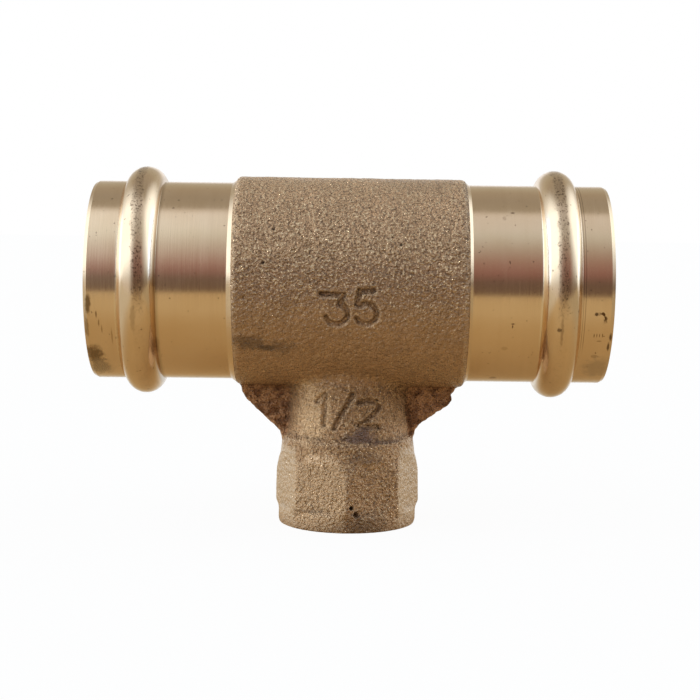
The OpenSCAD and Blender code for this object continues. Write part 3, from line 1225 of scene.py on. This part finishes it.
# The same for the white screens that stand on the left and on the right
LEFT_SCREEN = [
    (-180, (1.05, 1.10, 1.15)),
    (-12, (0.68, 0.64, 0.57)),
    (-4, (0.65, 0.62, 0.58)),
    (5, (0.75, 0.79, 0.82)),
    (12, (1.0, 1.13, 1.25)),
    (20, (1.3, 1.45, 1.6)),
    (30, (1.5, 1.7, 1.9)),
    (160, (1.5, 1.7, 1.9)),
    (180, (1.05, 1.10, 1.15)),
]
RIGHT_SCREEN = [
    (-180, (1.05, 1.10, 1.15)),
    (-12, (0.40, 0.33, 0.22)),
    (-5, (0.22, 0.18, 0.14)),
    (5, (0.28, 0.26, 0.23)),
    (25, (0.64, 0.70, 0.75)),
    (45, (0.92, 1.05, 1.2)),
    (65, (1.25, 1.45, 1.65)),
    (78, (1.5, 1.7, 1.9)),
    (160, (1.5, 1.7, 1.9)),
    (180, (1.05, 1.10, 1.15)),
]
# Where each screen begins, as (degrees, left, right), measured across from the middle
SCREEN_EDGES = [
    (-180, -0.75, 0.80),
    (0, -0.36, 0.80),
    (15, -0.36, 0.79),
    (30, -0.30, 0.77),
    (60, -0.25, 0.68),
    (86, -0.25, 0.54),
    (97, -0.46, 0.50),
    (115, -0.58, 0.50),
    (135, -0.70, 0.54),
    (155, -0.74, 0.62),
    (180, -0.75, 0.75),
]
SCREEN_BLUR = {LEFT: 0.28, RIGHT: 0.24}
RAMP_SCALE = 2.5  # a ramp holds 0 to 1, so its colours are stored divided by this

# Lamps on the rough skin as (name, place in metres, watts)
SKIN_LAMPS = [
    ("key_lamp", (-0.66, 0.08, 0.62), 15.4),
    ("left_lamp", (-0.88, -0.04, 0.03), 12.6),
    ("right_lamp", (0.86, 0.14, 0.04), 10.5),
]
LAMP_WIDTH = 0.22
LAMP_COLOUR = (0.96, 1.0, 1.0)


def light_ramp(nodes, angle, stops):
    """A ramp through (degrees, colour) stops, read at an angle that goes from 0 to 1 for -180 to 180."""
    node = nodes.add("ShaderNodeValToRGB")
    nodes.put(node.inputs[0], angle)
    points = node.color_ramp.elements
    while len(points) < len(stops):
        points.new(0.5)
    for point, (degrees, _) in zip(points, stops):
        point.position = (degrees + 180) / 360
    for point, (_, colour) in zip(points, stops):
        point.color = (*[c / RAMP_SCALE for c in colour], 1.0)
    return node.outputs[0]


def studio_light():
    """The world: light that changes with the angle round the run, between two white screens."""
    world = bpy.data.worlds.new("studio")
    bpy.context.scene.world = world
    world.use_nodes = True
    world.node_tree.nodes.clear()
    n = Nodes(world.node_tree)
    x, y, z = n.split(n.add("ShaderNodeTexCoord").outputs["Generated"])
    angle = n.calc("ARCTAN2", z, n.times(y, -1.0))
    angle = n.calc("MULTIPLY_ADD", angle, 1 / math.tau, 0.5)
    edges = n.add("ShaderNodeSeparateColor")
    edge_stops = [(at, (left + 1, right + 1, 0)) for at, left, right in SCREEN_EDGES]
    n.put(edges.inputs[0], light_ramp(n, angle, edge_stops))
    light = light_ramp(n, angle, OVERHEAD)
    for side, stops, edge in zip((LEFT, RIGHT), (LEFT_SCREEN, RIGHT_SCREEN), edges.outputs):
        start = n.calc("MULTIPLY_ADD", edge, RAMP_SCALE, -1.0)
        beyond = n.times(n.minus(x, start), side)
        blur = SCREEN_BLUR[side]
        light = n.blend(n.span(beyond, -blur, blur), light, light_ramp(n, angle, stops))
    room = n.add("ShaderNodeBackground")
    n.put(room.inputs["Color"], light)
    n.put(room.inputs["Strength"], RAMP_SCALE)
    white = n.add("ShaderNodeBackground")
    n.put(white.inputs["Color"], WHITE)
    ray = n.add("ShaderNodeLightPath")
    seen = n.mix(sees_white(n, ray, n.span(y, 0.93, 0.99)), room.outputs[0], white.outputs[0])
    n.put(n.add("ShaderNodeOutputWorld").inputs["Surface"], seen)


def skin_lamps():
    """Soft lamps that shape the rough skin. They light the casting alone, and nothing mirrors them."""
    lit = bpy.data.collections.new("lit_by_skin_lamps")
    lit.objects.link(casting)
    for name, place, watts in SKIN_LAMPS:
        data = bpy.data.lights.new(name, "AREA")
        data.shape = "SQUARE"
        data.size = LAMP_WIDTH
        data.energy = watts
        data.color = LAMP_COLOUR
        lamp = bpy.data.objects.new(name, data)
        bpy.context.scene.collection.objects.link(lamp)
        lamp.location = place
        lamp.rotation_euler = (-lamp.location).to_track_quat("-Z", "Y").to_euler()
        lamp.visible_glossy = False
        lamp.light_linking.receiver_collection = lit


# ---------------------------------------------------------------- camera

CAMERA_PLACE = (1.61, -323.93, 19.85)
CAMERA_HEADING = 0.242
CAMERA_TILT = 84.13
CAMERA_ROLL = 0.69
CAMERA_LENS = 84.6


def studio_camera():
    """The camera, a little above the run and square to it."""
    data = bpy.data.cameras.new("camera")
    data.sensor_width = 36.0
    data.lens = CAMERA_LENS
    data.clip_start = 0.01
    camera = bpy.data.objects.new("camera", data)
    bpy.context.scene.collection.objects.link(camera)
    turn = Matrix.Rotation(math.radians(CAMERA_HEADING), 4, "Z")
    turn @= Matrix.Rotation(math.radians(CAMERA_TILT), 4, "X")
    turn @= Matrix.Rotation(math.radians(CAMERA_ROLL), 4, "Z")
    camera.matrix_world = Matrix.Translation(Vector(CAMERA_PLACE) * MM) @ turn
    bpy.context.scene.camera = camera


studio_floor()
studio_light()
skin_lamps()
studio_camera()
bpy.context.scene.view_settings.view_transform = "Standard"
